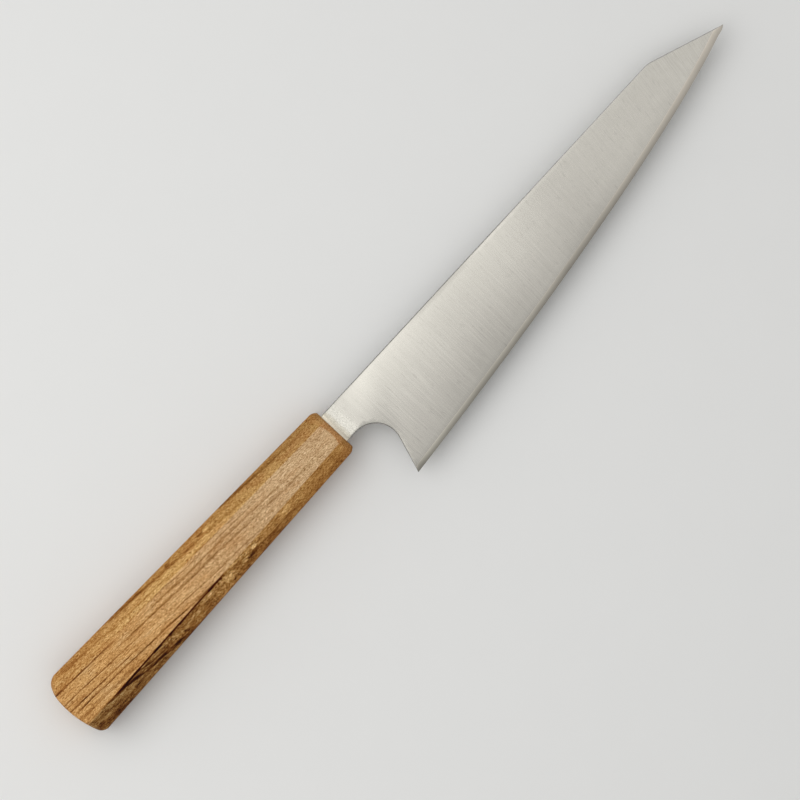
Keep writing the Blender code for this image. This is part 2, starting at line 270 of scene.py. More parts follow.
def makeBrushedGroup():
    # fine lines left by a belt across the blade, some long scratches and faint broad bands
    shape = {"Lean": 0.0, "LineWidth": 0.16, "LineLength": 22.0}
    group, given = newGroup("brushedLines", ["Lines", "Scratches", "Bands"], Place=(0, 0, 0), **shape)
    x, y, z = axesOf(group, given["Place"])
    across = x - y * given["Lean"]
    width, length = given["LineWidth"], given["LineLength"]
    depth = z * 0.2
    long = noise((across / width, y / length / 2.5, depth), 1.0)
    short = noise((across / width / 0.8 + 40.0, y / length * 1.6, depth), 1.0)
    wander = noise((x / 6.0, y / 9.0, 0.0), 1.0) * 1.6
    scratches = noise(((across + wander) / (width * 2.2), y / (length * 0.3), depth + 7.0), 0.0)
    return putOut(
        group,
        Lines=long * 0.6 + short * 0.4 - 0.5,
        Scratches=ramp(scratches, 0.68, 0.82),
        Bands=noise((across / 5.0, y / 60.0, 3.0), 3.0, 0.6) - 0.5,
    )


def makeMottleGroup():
    # small cloudy spots, as on cured resin or steel that has been rubbed by hand
    group, given = newGroup("softMottle", ["Mottle"], Place=(0, 0, 0), Size=1.0, Contrast=1.0)
    fine = noise(given["Place"], 4.0, 0.65, 1.0 / given["Size"], 0.4)
    return putOut(group, Mottle=held((fine - 0.5) * given["Contrast"] * 1.6 + 0.5))


woodFibre = makeFibreGroup()
deepenTone = makeToneGroup()
growthLine = makeGrowthLineGroup()
brushedLines = makeBrushedGroup()
softMottle = makeMottleGroup()


def toned(colour, tone, deepen=0.0):
    return useGroup(tone.tree, deepenTone, Colour=colour, Tone=tone, Deepen=deepen)["Colour"].socket


def mottled(place, size, contrast):
    return useGroup(place.tree, softMottle, Place=place, Size=size, Contrast=contrast)["Mottle"] - 0.5


# steel; a row of places counts in mm from the handle's front face

steelLook = {
    "face": (0.46, 0.442, 0.398),
    # painted light: the face's colour towards the spine
    "litSpineFace": (0.50, 0.482, 0.435),
    "neck": (0.455, 0.44, 0.395),
    "warm": (0.385, 0.36, 0.30),  # the last of the neck, beside the wood
    "bevel": (0.50, 0.475, 0.41),
    "bevelLitAtPoint": (0.64, 0.588, 0.512),
    "rimHeel": (0.315, 0.304, 0.275),
    "rim": (0.58, 0.565, 0.525),
    "faceRoughness": 0.22,
    "neckRoughness": 0.27,
    "bevelRoughness": 0.42,
    "rimRoughness": 0.24,
    "lines": {"LineWidth": 0.29, "LineLength": 10.0},
    "lineContrast": 0.32,
    "bandContrast": 0.08,
    "scratchContrast": 0.06,
    "leanAtPoint": 0.24,  # how far the brushed lines tilt near the point
    "polishedNeck": 6.8,  # mm of neck rubbed by hand, ahead of the handle
    "edgeShade": 0.2,  # painted shade: how much darker the heel's half is towards the edge, where its grind falls away
    "aboveBevel": 0.07,  # the shade over the bevel in the front half
    # rows of first and last mm, value before and value after
    "lineFading": ((50.0, 85.0, 0.0, -0.27), (85.0, 120.0, 0.0, -0.2), (145.0, 170.0, 0.0, 1.05)),
    # painted light and shade: stretches of the blade made lighter or darker
    "zones": ((64.0, 108.0, 20.0, 0.06), (40.0, 70.0, 14.0, -0.035)),  # first, last, fade, change
    # painted shade across the bevel: its brightness at the cutting edge and at its top, each up to mm
    # 130 and from mm 180 on
    "bevelShades": ((0.47, 0.53), (0.77, 0.715)),
    # painted light and shade along the bevel: first and last mm, value before and value after
    "bevelLightAlong": ((9.0, 17.0, 0.76, 1.0), (12.0, 60.0, 1.3, 1.0), (90.0, 175.0, 1.0, 1.32)),
}


def aboveEdge(tree):
    # mm from the cutting edge, as makeBlade leaves it on the mesh
    return Field(addNode(tree, "ShaderNodeAttribute", attribute_name="fromEdge").outputs["Fac"])


def makeFaceSteel():
    look = steelLook
    made, tree, place, (x, y, z) = newFinish("satinSteel")
    toPoint = held(x / bladeSizes["tipX"])
    lean = toPoint * toPoint * look["leanAtPoint"]
    belt = useGroup(tree, brushedLines, Place=place, Lean=lean, **look["lines"])
    mottle = mottled(place, 0.55, 1.6)
    wide = mottled(place, 3.2, 1.2)
    rubbedTo = look["polishedNeck"]
    neck = ramp(x + mottle * 1.2 + wide, rubbedTo - 1.4, rubbedTo + 0.4, 1.0, 0.0)
    # painted light: the faces grow lighter towards the spine
    base = blendColour(ramp(y, -24.0, 8.0) * 0.55, look["face"], look["litSpineFace"])
    base = blendColour(neck, base, look["neck"])
    base = blendColour(ramp(x + mottle * 0.5, 1.7, 3.1, 1.0, 0.0), base, look["warm"])

    # the lines are plain at the heel, fainter in the middle and plainest at the point
    brushed = belt["Lines"] * look["lineContrast"] + belt["Bands"] * look["bandContrast"]
    tone = 1.0 + brushed * sum((ramp(x, *row) for row in look["lineFading"]), 1.0)
    tone = tone - belt["Scratches"] * look["scratchContrast"]
    # the wide mottle is the steel's own; painted light brightens the face from mm 105 on, and each zone
    # paints light or shade on its stretch
    tone = tone + wide * 0.08 * toPoint + ramp(x, 105.0, 135.0, 0.0, 0.05)
    for *zone, change in look["zones"]:
        tone = tone + within(x, *zone) * change

    # painted shade: darker towards the edge, round the notch, in the heel's corner and just under the
    # spine; a little painted light lifts the heel's lower half
    fromEdge = aboveEdge(tree)
    tone = tone - ramp(fromEdge, 0.0, 20.0, look["edgeShade"], 0.0) * ramp(x, 70.0, 145.0, 1.0, -0.15)
    tone = tone - ramp(fromEdge, 3.0, 7.5, look["aboveBevel"], 0.0) * within(x, 85.0, 170.0, 20.0)
    heelCornerShade = ramp(x, 9.5, 12.0, 0.8, 1.0) + ramp(x, 24.0, 36.0, 0.055, 0.0)
    notchShade = ramp(x, 6.0, 19.0, 0.82, 1.0)
    tone = tone * between(heelCornerShade, notchShade, ramp(y, -22.0, -12.0))
    shadeUnderSpine = (within(x, 40.0, 75.0, 10.0) * 0.1 + 0.13) * ramp(x, 65.0, 85.0, 1.0, 0.0)
    tone = tone * (1.0 - ramp(y, 4.6, 5.8) * shadeUnderSpine)

    # painted shade: the neck darker towards its upper side; its mottle and lines are the steel's own
    neckTone = ramp(y, 3.8, 6.0, 1.0, 0.88) + mottle * 0.5 + wide * 0.12 + belt["Lines"] * 0.1
    colour = toned(base, between(tone, neckTone, neck))
    faceRoughness = look["faceRoughness"] + belt["Lines"] * 0.12
    neckRoughness = look["neckRoughness"] + mottle * 0.1
    relief = between(belt["Lines"] - belt["Scratches"] * 0.6, mottle * 0.7, neck)
    return finish(made, colour, 1.0, between(faceRoughness, neckRoughness, neck), relief, 0.15, 0.02)


def makeBevelSteel():
    # painted shade: darker towards the cutting edge, where the stone has rounded it most
    look = steelLook
    made, tree, place, (x, y, z) = newFinish("honedSteel")
    toPoint = held(x / bladeSizes["tipX"])
    belt = useGroup(tree, brushedLines, Place=place, Lean=0.35, LineWidth=0.1, LineLength=3.0)
    # painted light: the bevel's colour grows lighter towards the point
    base = blendColour(toPoint, look["bevel"], look["bevelLitAtPoint"])
    upBevel = held(aboveEdge(tree) / between(rightFace["heelBevel"], rightFace["tipBevel"], toPoint))
    atEdge, atTop = [ramp(x, 130.0, 180.0, *shades) for shades in look["bevelShades"]]
    tone = between(atEdge, atTop, upBevel)
    for row in look["bevelLightAlong"]:
        tone = tone * ramp(x, *row)
    # painted light: brighter over mm 46 to 94 and at the very point
    tone = tone * (1.0 + within(x, 46.0, 94.0, 14.0) * 0.1 + ramp(x, 172.0, 180.0, 0.0, 0.08))
    tone = tone + belt["Lines"] * 0.12 + belt["Bands"] * 0.1
    roughness = look["bevelRoughness"] + belt["Lines"] * 0.12
    return finish(made, toned(base, tone), 1.0, roughness, belt["Lines"], 0.2, 0.01)


def makeRimSteel():
    # the spine, the notch and the rounded edges between them and the faces
    look = steelLook
    made, tree, place, (x, y, z) = newFinish("polishedSteel")
    belt = useGroup(tree, brushedLines, Place=(z * 4.0, x, y), LineWidth=0.5, LineLength=30.0)
    base = blendColour(ramp(x, 60.0, 130.0), look["rimHeel"], look["rim"])
    tone = 1.0 + belt["Lines"] * 0.16 + mottled(place, 2.5, 1.0) * 0.1
    roughness = look["rimRoughness"] + belt["Lines"] * 0.1
    return finish(made, toned(base, tone), 1.0, roughness, belt["Lines"], 0.15, 0.01)


# wood and resin

woodLook = {
    "gold": (0.562, 0.30, 0.101),
    # painted sheen: the pinkish colour towards the front
    "sheenPink": (0.56, 0.365, 0.19),
    "amber": (0.515, 0.28, 0.081),
    "orange": (0.435, 0.195, 0.05),
    "heart": (0.255, 0.118, 0.03),
    "heartFront": (0.43, 0.207, 0.055),
    "pale": (0.64, 0.455, 0.24),
    "endBand": (0.43, 0.20, 0.062),
    "roughness": 0.5,
    "sheen": 0.08,  # the dry, bare surface mirrors hardly anything
    "drift": 0.062,  # how far the growth lines drop to the edge side for each mm forwards
    "fan": 0.28,  # how far they spread on the slanting facets
    # on the upper facet, the spine side's slope and the edge side's slope
    "fibreContrast": (1.1, 0.8, 2.3),
    "fleckContrast": (2.45, 2.5, 3.3),
    "blotchContrast": (0.4, 0.6, 1.7),
    # painted light and shade: the slanting facets' brightness beside the ridge and at the knife's
    # outline
    "spineShade": (1.17, 0.8),
    "edgeShade": (1.16, 0.86),
    "heartLevel": -6.2,  # the growth line below which the edge side's heartwood is dark
    "lineDarkness": 0.92,
    "poreDarkness": 0.4,
    "streakDarkness": 0.94,
}

# growth lines by their height in mm above the axis at the butt:
# height, width, softness, strength, first and last mm from the front face
growthLines = (
    (-8.9, 0.25, 0.9, 0.6, -140, -96),
    (-7.5, 0.18, 0.4, 0.35, -140, -100),
    (-6.45, 0.16, 0.35, 0.75, -140, -104),
    (-6.25, 0.24, 0.45, 1.2, -118, -68),
    (-5.6, 0.16, 0.3, 0.8, -108, -84),
    (-4.2, 0.5, 1.3, 0.45, -140, -92),
    (-1.75, 0.2, 0.5, 0.85, -132, -56),
    (-0.1, 0.2, 0.45, 0.95, -140, -92),
    (0.85, 0.16, 0.5, 0.55, -86, -30),
    (1.65, 0.16, 0.3, 0.6, -140, -118),
    (2.95, 0.2, 0.4, 0.75, -140, -86),
    (5.0, 0.3, 0.8, 0.6, -104, -6),
    (7.3, 0.26, 0.45, 0.8, -140, -92),
    (6.9, 0.3, 0.7, 0.55, -90, -16),
    (8.6, 0.16, 0.4, 0.35, -128, -30),
    (9.9, 0.16, 0.5, 0.35, -126, -8),
    (11.5, 0.22, 0.5, 0.5, -112, -34),
    (13.5, 0.16, 0.4, 0.7, -54, -8),
)
# spots on the slanting facets: middle in mm, half length and height, change of brightness
woodBlots = (
    (-84.0, 10.7, 2.2, 0.7, -0.3),
    (-71.5, 10.0, 1.8, 0.6, -0.45),
    (-56.4, 9.1, 1.2, 0.5, -0.5),
    (-53.5, 8.9, 1.3, 0.6, 0.3),
    (-68.3, -7.0, 1.2, 0.5, 0.9),
    (-46.6, -6.9, 1.5, 0.55, 0.6),
    (-48.5, -8.2, 2.6, 0.5, -0.75),
    (-30.5, -6.2, 2.4, 0.6, 0.45),
    (-76.0, -8.4, 3.5, 0.9, 0.5),
    (-59.0, -8.3, 3.2, 0.9, 0.4),
)
# where the dark streak under the lower ridge shows: first and last mm and strength
ridgeStreaks = (
    (-114, -101, 0.85),
    (-96, -90.5, 0.85),
    (-88.5, -84.5, 0.9),
    (-83.5, -78.5, 0.85),
    (-69, -60.5, 0.7),
)


def makeHandleWood():
    look, sizes = woodLook, handleSizes
    made, tree, place, (x, y, z) = newFinish("goldenWood")
    back = x + sizes["length"]  # mm from the butt
    names = ("Thickness", "Height", "Facet", "Side")
    toButt = x / sizes["length"] * -1.0
    halfThick, halfHigh, halfFacet, halfSide = [halfOf(sizes, name, toButt) for name in names]

    def drawnOut(height, length, width, detail=2.0, roughness=0.5):
        return noise((x / length, height / width, z / width), detail, roughness)

    # how deep in the log a point lies; near the butt's dome as if the facets ran straight on
    outside = held((y.math("ABSOLUTE") - halfFacet) / (halfHigh - halfFacet))
    plain = between(halfThick, halfSide, outside) * ramp(back, 2.0, 6.0, 1.0, 0.0)
    depth = (z.math("ABSOLUTE").math("MAXIMUM", plain) / halfThick * (math.pi / 2)).math("COSINE")
    wander, ripple = drawnOut(y, 26.0, 9.0) - 0.5, drawnOut(y, 5.0, 3.0) - 0.5
    level = y * (1.0 - depth * look["fan"]) + back * look["drift"] + wander * 1.5 + ripple * 0.3

    grain = useGroup(tree, woodFibre, Place=(x, level, z))
    broken = ramp(noise((x / 7.0, level / 0.6, 0.0), 2.0, 0.6), 0.36, 0.6, 0.4, 1.0)
    lines = []
    columns = ("At", "Width", "Soft", "Strength", "From", "Till")
    for row in growthLines:
        values = dict(zip(columns, row))
        lines.append(useGroup(tree, growthLine, Level=level, Along=x, **values)["Line"])
    lines = held(highest(lines) * broken * ramp(back, 30.0, 125.0, 1.0, 0.6))

    # light wood with a painted sheen that turns it pinker towards the front, and orange and pale clouds
    base = blendColour(ramp(back, 20.0, 118.0), look["gold"], look["sheenPink"])
    clouds = drawnOut(level, 10.0, 2.4, 3.0, 0.55)
    orangeShare = ramp(clouds, 0.5, 0.72) * ramp(back, 40.0, 100.0, 0.6, 0.25)
    base = blendColour(orangeShare, base, look["orange"])
    base = blendColour(ramp(clouds, 0.5, 0.3) * 0.22, base, look["pale"])

    # slanting facets: amber to the spine, dark heartwood to the edge, darker towards the butt
    toEdge = y * -1.0 - halfFacet
    spineSlope, edgeSlope = ramp(y - halfFacet, -0.12, 0.3), ramp(toEdge, -0.12, 0.3)
    slope = highest([spineSlope, edgeSlope])
    amber = blendColour(ramp(clouds, 0.46, 0.66) * 0.75, look["amber"], look["orange"])
    amber = toned(amber, ramp(back, 70.0, 120.0, 1.0, 0.84))
    base = blendColour(spineSlope * ramp(back, 15.0, 60.0, 0.35, 0.9), base, amber)
    patches = drawnOut(level, 7.0, 2.0, 3.0, 0.6)
    belowHeart = ramp(level, look["heartLevel"] - 0.3, look["heartLevel"] + 0.3, 1.0, 0.0)
    heartwood = highest([belowHeart, ramp(back, 26.0, 46.0, 0.85, 0.0)])

    # a seam crosses the edge side's slope, and the wood is darker beyond it
    seam = toEdge + grain["Blotches"] * 0.6 - ramp(back, 66.0, 92.0, 0.7, 3.2)
    beyondSeam = ramp(seam, -0.3, 0.4) * ramp(back, 71.0, 76.0) * ramp(back, 82.0, 112.0, 0.36, 0.1)
    frontTone = ramp(back, 52.0, 78.0, 0.66, 1.0) * (1.0 - beyondSeam)
    heart = blendColour(heartwood, toned(look["heartFront"], frontTone, 0.45), look["heart"])
    heart = blendColour(ramp(patches, 0.52, 0.68) * 0.6, heart, look["amber"])
    base = blendColour(edgeSlope, base, heart)

    # everything that lightens or darkens it
    def byFacet(name):
        upper, spineSide, edgeSide = look[name]
        return between(between(upper, spineSide, spineSlope), edgeSide, edgeSlope)

    fine = grain["Flecks"] * byFacet("fleckContrast") * ramp(back, 60.0, 125.0, 1.0, 0.98)
    coarser = within(back, 28.0, 92.0, 12.0) * 0.4 - ramp(back, 70.0, 110.0) * 0.2
    broad = grain["Fibre"] * byFacet("fibreContrast") + grain["Blotches"] * byFacet("blotchContrast")
    tone = 1.0 + fine * (1.0 + edgeSlope * coarser) + broad * ramp(back, 60.0, 125.0, 1.0, 0.4)
    # painted light and shade across the slanting facets, lighter by the ridge and darker towards the
    # outline
    spineRidge, spineOutline = look["spineShade"]
    spineRidge = ramp(back, 16.0, 34.0, 0.98, spineRidge) * ramp(back, 68.0, 100.0, 1.0, 0.86)
    edgeRidge, edgeOutline = look["edgeShade"]
    edgeRidge = ramp(back, 100.0, 120.0, edgeRidge, 1.0)
    tone = tone * between(1.0, ramp(outside, 0.2, 0.95, spineRidge, spineOutline), spineSlope)
    tone = tone * between(1.0, ramp(outside, 0.1, 0.9, edgeRidge, edgeOutline), edgeSlope)
    for middle, height, halfLength, halfHeight, change in woodBlots:
        along, across = (x - middle) / halfLength, (y - height) / halfHeight
        off = along * along + across * across + grain["Blotches"] * 3.0 + grain["Flecks"]
        tone = tone * (1.0 + ramp(off, 1.4, 0.2) * change)
    tone = tone * (1.0 - lines * look["lineDarkness"]) * (1.0 - grain["Pores"] * look["poreDarkness"])

    # the dark streak under the lower ridge, a hairline through it and the seam's own shade
    shown = highest([within(x, first, last, 1.5) * strength for first, last, strength in ridgeStreaks])
    streak = within(toEdge, -0.15, 0.85, 0.25) * shown * (1.3 + grain["Blotches"] * 3.0)
    hairline = within(toEdge, -0.1, 0.65, 0.2) * within(x, -119.0, -56.0, 9.0) * 0.85
    streak = held(highest([streak, hairline * (1.0 + grain["Flecks"] * 2.0)]))
    onSeam = within(seam, -0.4, 0.4, 0.3) * edgeSlope * within(back, 67.0, 104.0, 8.0) * 0.4
    tone = tone * (1.0 - streak * look["streakDarkness"]) * (1.0 - onSeam)
    deepen = ramp(back, 30.0, 110.0, 0.45, 0.35) + slope * 0.15 + streak * 0.5

    # the broken edges at both ends, in a darker orange
    endBand = ramp(x + y * y * 0.04, -2.0, -1.5) * (0.85 - slope * 0.5)
    buttBand = ramp(back, 0.4, 2.6, 1.0, 0.0) * 0.3
    endColour = toned(look["endBand"], tone, deepen)
    base = blendColour(highest([endBand, buttBand]), toned(base, tone, deepen), endColour)
    tree.nodes["Principled BSDF"].inputs["Specular IOR Level"].default_value = look["sheen"]
    roughness = look["roughness"] + grain["Fibre"] * 0.3 + lines * 0.15
    relief = grain["Fibre"] * 0.6 + grain["Flecks"] * 0.3 - grain["Pores"] * 0.8 - lines * 0.9
    return finish(made, base, 0.0, roughness, relief, 0.5, 0.06)


dowelLook = {
    "dark": (0.36, 0.185, 0.07),
    "light": (0.46, 0.265, 0.12),
    "grain": {"FibreWidth": 0.6, "FibreLength": 10.0, "PoreShare": 0.2},
    "roughness": 0.6,
}


def makeDowelWood():
    look = dowelLook
    made, tree, place, (x, y, z) = newFinish("beechWood")
    grain = useGroup(tree, woodFibre, Place=place, **look["grain"])
    base = blendColour(grain["Blotches"] + 0.5, look["dark"], look["light"])
    tone = 1.0 + grain["Fibre"] * 0.7 + grain["Flecks"] * 0.4 - grain["Pores"] * 0.4
    roughness = look["roughness"] + grain["Fibre"] * 0.15
    return finish(made, toned(base, tone, 0.3), 0.0, roughness, grain["Fibre"], 0.3, 0.04)


sealLook = {
    "dark": (0.40, 0.365, 0.295),
    "light": (0.47, 0.435, 0.36),
    "spotSize": 0.7,
    "filled": 0.9,  # the share of metal powder in the resin
    "litBesideWood": 0.45,  # painted light: how much brighter it is beside the wood, where the handle shades it
}
beddingLook = {"dark": (0.45, 0.29, 0.11), "light": (0.62, 0.44, 0.2), "spotSize": 1.5}


def makeResin(name, look):
    made, tree, place, (x, y, z) = newFinish(name)
    mottle = mottled(place, look["spotSize"], 1.2)
    base = blendColour(mottle + 0.5, look["dark"], look["light"])
    # painted light: brighter beside the wood
    colour = toned(base, ramp(x, 0.1, 1.2, 1.0 + look.get("litBesideWood", 0.0), 1.0))
    filled = look.get("filled")
    metallic = held(filled + mottle * 0.1 * filled) if filled else 0.0
    return finish(made, colour, metallic, 0.32 + mottle * 0.12, mottle, 0.15, 0.03)


# blade

bladeSizes = {
    "heelX": 8.7,
    "heelDrop": 30.15,
    "tipX": 187.4,
    "tipDrop": 2.6,
    "cornerX": 160.4,
    "cornerSoftening": 1.5,
    "neckX": 1.2,
    "neckRise": 6.35,
    "cornerRise": 6.95,
    "neckHeight": 12.15,
    "notchRadius": 9.0,
    "heelLean": math.radians(18.5),
    "bellyEndX": 182.7,
    "bellyEndDrop": 4.25,
    "heelEdgeAngle": math.radians(5.1),
    "bellyEndAngle": math.radians(16.9),
    "tipEdgeAngle": math.radians(38.0),
    "heelPull": 80.0,
    "bellyPull": 30.0,
    "upsweepPull": 1.8,
    "neckThickness": 3.6,
    "tipThickness": 1.8,
    "flatLength": 13.0,
    "grindLength": 17.0,
    "grindDownShare": 0.6,
    "rim": 0.38,  # rounding between the faces and the spine or notch
    "rimSteps": 5,
    "rimFade": 0.7,  # the rounding starts over this much of the neck
    "step": 1.0,  # mesh fineness
    "rowHeight": 1.6,
    "bevelStep": 0.8,
    "bevelRoom": 0.3,  # mm kept free round a point on a face
    "faceRoom": 0.45,
    "edgeSteps": 170,
    "sweepSteps": 24,
    "notchSteps": 40,
    "shoulderSteps": 8,
    "tangEndX": -86.0,
    "tangHeight": 7.6,
    "tangEndHeight": 4.6,
    "tangThickness": 3.0,
    "tangEndThickness": 2.2,
}
faceNames = ("heelBevel", "tipBevel", "shoulder", "edge", "convexity", "crown")
rightFace = dict(zip(faceNames, (1.85, 2.4, 0.42, -0.06, 1.4, 0.05)))
leftFace = dict(zip(faceNames, (0.9, 0.9, 0.22, 0.06, 1.15, 0.0)))


def bezier(points, steps):
    line = []
    for i in range(steps + 1):
        t = i / steps
        weights = ((1 - t) ** 3, 3 * (1 - t) ** 2 * t, 3 * (1 - t) * t * t, t**3)
        line.append(tuple(sum(w * p[axis] for w, p in zip(weights, points)) for axis in (0, 1)))
    return line


def alongAngle(point, angle, reach):
    return (point[0] + reach, point[1] + reach * math.tan(angle))


def makeEdgeLine():
    s = bladeSizes
    heel, bellyEnd, tip = [(s[name + "X"], -s[name + "Drop"]) for name in ("heel", "bellyEnd", "tip")]
    heelArm = alongAngle(heel, s["heelEdgeAngle"], s["heelPull"])
    bellyArm = alongAngle(bellyEnd, s["bellyEndAngle"], -s["bellyPull"])
    sweepArm = alongAngle(bellyEnd, s["bellyEndAngle"], s["upsweepPull"])
    tipArm = alongAngle(tip, s["tipEdgeAngle"], -s["upsweepPull"])
    belly = bezier((heel, heelArm, bellyArm, bellyEnd), s["edgeSteps"])
    upsweep = bezier((bellyEnd, sweepArm, tipArm, tip), s["sweepSteps"])
    return belly + upsweep[1:]


edgeLine = makeEdgeLine()
edgeXs = [x for x, y in edgeLine]


def edgeY(x):
    s = bladeSizes
    if x <= s["heelX"]:
        return -s["heelDrop"] + (x - s["heelX"]) * math.tan(s["heelEdgeAngle"])
    i = min(bisect(edgeXs, x), len(edgeXs) - 1)
    (x0, y0), (x1, y1) = edgeLine[i - 1], edgeLine[i]
    return between(y0, y1, (x - x0) / (x1 - x0))


def spineY(x):
    return between(bladeSizes["neckRise"], bladeSizes["cornerRise"], x / bladeSizes["cornerX"])


def topY(x):
    s = bladeSizes
    pointSlope = (-s["tipDrop"] - s["cornerRise"]) / (s["tipX"] - s["cornerX"])
    drop = (s["cornerRise"] - s["neckRise"]) / s["cornerX"] - pointSlope
    past = x - (s["cornerX"] - s["cornerSoftening"])
    if past <= 0:
        return spineY(x)
    if past < 2 * s["cornerSoftening"]:
        return spineY(x) - drop * past**2 / (4 * s["cornerSoftening"])
    return spineY(x) - drop * (x - s["cornerX"])


def bevelWidth(face, x):
    return between(face["heelBevel"], face["tipBevel"], x / bladeSizes["tipX"])


def faceZ(face, x, y):
    # distance of one face from the middle plane
    s = bladeSizes
    spineHalf = between(s["neckThickness"], s["tipThickness"], max(x, 0) / s["tipX"]) / 2
    width = bevelWidth(face, x)
    bevelTop = edgeY(x) + width
    if y < bevelTop:
        share = (bevelTop - y) / width
        ground = between(face["shoulder"], face["edge"], share) + face["crown"] * 4 * share * (1 - share)
    else:
        share = max((spineY(x) - y) / (spineY(x) - bevelTop), 0.0)
        ground = between(spineHalf, face["shoulder"], share ** face["convexity"])
    reach = x + s["grindDownShare"] * (spineY(x) - y)
    share = min(max((reach - s["flatLength"]) / s["grindLength"], 0.0), 1.0)
    return between(spineHalf, ground, share * share * (3 - 2 * share))


def steps(start, end, count):
    return [between(start, end, i / count) for i in range(count)]


def bladeOutline():
    # clockwise from the neck's upper corner, each point with how far its rim may be rounded
    s = bladeSizes

    def rimAt(x):
        return s["rim"] * min((x - s["neckX"]) / s["rimFade"], 1.0)

    corner, soft, tip = s["cornerX"], s["cornerSoftening"], s["tipX"]
    xs = [s["neckX"] + share for share in (0, 0.2, 0.45, 0.7)]
    xs += steps(s["neckX"] + 1.0, corner - soft, round(corner / s["step"]))
    xs += steps(corner - soft, corner + soft, 8)
    xs += steps(corner + soft, tip - 2.0, round((tip - corner) / s["step"]))
    xs += steps(tip - 2.0, tip, 8)
    points = [(x, topY(x), rimAt(x)) for x in xs] + [(x, y, 0.0) for x, y in reversed(edgeLine)]

    # up the heel, round the notch and along the neck's lower side
    neckLow = s["neckRise"] - s["neckHeight"]
    radius, lean = s["notchRadius"], s["heelLean"]
    touchY = neckLow - radius * (1 + math.sin(lean))
    touchX = s["heelX"] + (touchY + s["heelDrop"]) * math.tan(lean)
    middleX, middleY = touchX - radius * math.cos(lean), neckLow - radius
    rises = [0.3, leftFace["heelBevel"], 1.35, rightFace["heelBevel"] + 0.02, 2.6]
    rises += steps(3.4, touchY + s["heelDrop"], 11)
    points += [(s["heelX"] + rise * math.tan(lean), -s["heelDrop"] + rise, s["rim"]) for rise in rises]
    for i in range(s["notchSteps"] + 1):
        turn = (math.pi / 2 + lean) * (1 - i / s["notchSteps"])
        points.append((middleX + radius * math.sin(turn), middleY + radius * math.cos(turn), s["rim"]))
    xs = steps(middleX, s["neckX"] + 0.7, 4)[1:] + [s["neckX"] + share for share in (0.7, 0.45, 0.2)]
    points += [(x, neckLow, rimAt(x)) for x in xs]
    points += [(s["neckX"], y, 0.0) for y in steps(neckLow, s["neckRise"], s["shoulderSteps"])]
    return points


def insetLines(outline):
    # the outline's direction inwards and the rounding that the blade's thickness leaves room for
    count = len(outline)
    lines = []
    for i, (x, y, rim) in enumerate(outline):
        before, after = outline[i - 1], outline[(i + 1) % count]
        first = Vector((x - before[0], y - before[1])).normalized()
        last = Vector((after[0] - x, after[1] - y)).normalized()
        way = (first + last).normalized()
        thickness = faceZ(rightFace, x, y) + faceZ(leftFace, x, y)
        lines.append((Vector((x, y)), Vector((way.y, -way.x)), min(rim, 0.4 * max(thickness, 0.0))))
    return lines


def insideOutline(x, y, outline):
    inside = False
    for (x0, y0, _), (x1, y1, _) in zip(outline, outline[1:] + outline[:1]):
        if (y0 > y) != (y1 > y) and x < x0 + (y - y0) * (x1 - x0) / (y1 - y0):
            inside = not inside
    return inside


def fillFace(bm, face, side, rimVerts, outline):
    # triangulates one face through its rim, its bevel line and rows of points
    s = bladeSizes
    places = [vert.co.xy for vert in rimVerts]
    rimCount = len(places)
    tree = KDTree(rimCount)
    for i, place in enumerate(places):
        tree.insert((*place, 0), i)
    tree.balance()
    sides = [(i, (i + 1) % rimCount) for i in range(rimCount)]

    def room(x, y, least):
        return insideOutline(x, y, outline) and tree.find((x, y, 0))[2] > least

    bevelLine = []
    x = s["heelX"] + 0.2
    while x < s["tipX"]:
        y = edgeY(x) + bevelWidth(face, x)
        if room(x, y, s["bevelRoom"]) and y < topY(x) - 0.25:
            bevelLine.append(len(places))
            places.append(Vector((x, y)))
        x += s["bevelStep"]
    first, last = [tree.find((*places[i], 0))[1] for i in (bevelLine[0], bevelLine[-1])]
    chain = [first, *bevelLine, last]

    column = s["neckX"] + 0.6
    while column < s["tipX"]:
        bevelTop = edgeY(column) + bevelWidth(face, column)
        rows = max(round((topY(column) - bevelTop) / s["rowHeight"]), 2)
        ys = steps(bevelTop, topY(column), rows)[1:]
        ys += [edgeY(column) + bevelWidth(face, column) * share for share in (0.35, 0.7)]
        for y in ys:
            if room(column, y, s["faceRoom"]):
                places.append(Vector((column, y)))
        column += s["step"]

    sides += list(zip(chain, chain[1:]))
    border = [list(range(rimCount))]
    made, _, triangles, origins, _, _ = delaunay_2d_cdt(places, sides, border, 1, 1e-6)
    verts = []
    for place, came in zip(made, origins):
        rim = [i for i in came if i < rimCount]
        if rim:
            verts.append(rimVerts[rim[0]])
        else:
            verts.append(bm.verts.new((place.x, place.y, side * faceZ(face, place.x, place.y))))
    for triangle in triangles:
        skin = bm.faces.new([verts[i] for i in triangle])
        middle = skin.calc_center_median()
        if middle.y < edgeY(middle.x) + bevelWidth(face, middle.x) and middle.x > s["heelX"] - 1:
            skin.material_index = 1


def joinLoops(bm, near, far, count, material=0):
    for i in range(count):
        j = (i + 1) % len(near)
        bm.faces.new((near[i], near[j], far[j], far[i])).material_index = material


def addTang(bm):
    # closes the neck's shoulders round the tang's root and draws the tapered tang
    s = bladeSizes
    border = [edge for edge in bm.edges if edge.is_boundary]

    def ring(x, height, thickness):
        corners = ((1, 1), (1, -1), (-1, -1), (-1, 1))
        return [bm.verts.new((x, a * height / 2, b * thickness / 2)) for a, b in corners]

    root = ring(s["neckX"], s["tangHeight"], s["tangThickness"])
    end = ring(s["tangEndX"], s["tangEndHeight"], s["tangEndThickness"])
    rootEdges = [bm.edges.new((root[i], root[(i + 1) % 4])) for i in range(4)]
    bmesh.ops.triangle_fill(bm, use_beauty=True, edges=border + rootEdges)
    joinLoops(bm, root, end, 4)
    bm.faces.new(end)


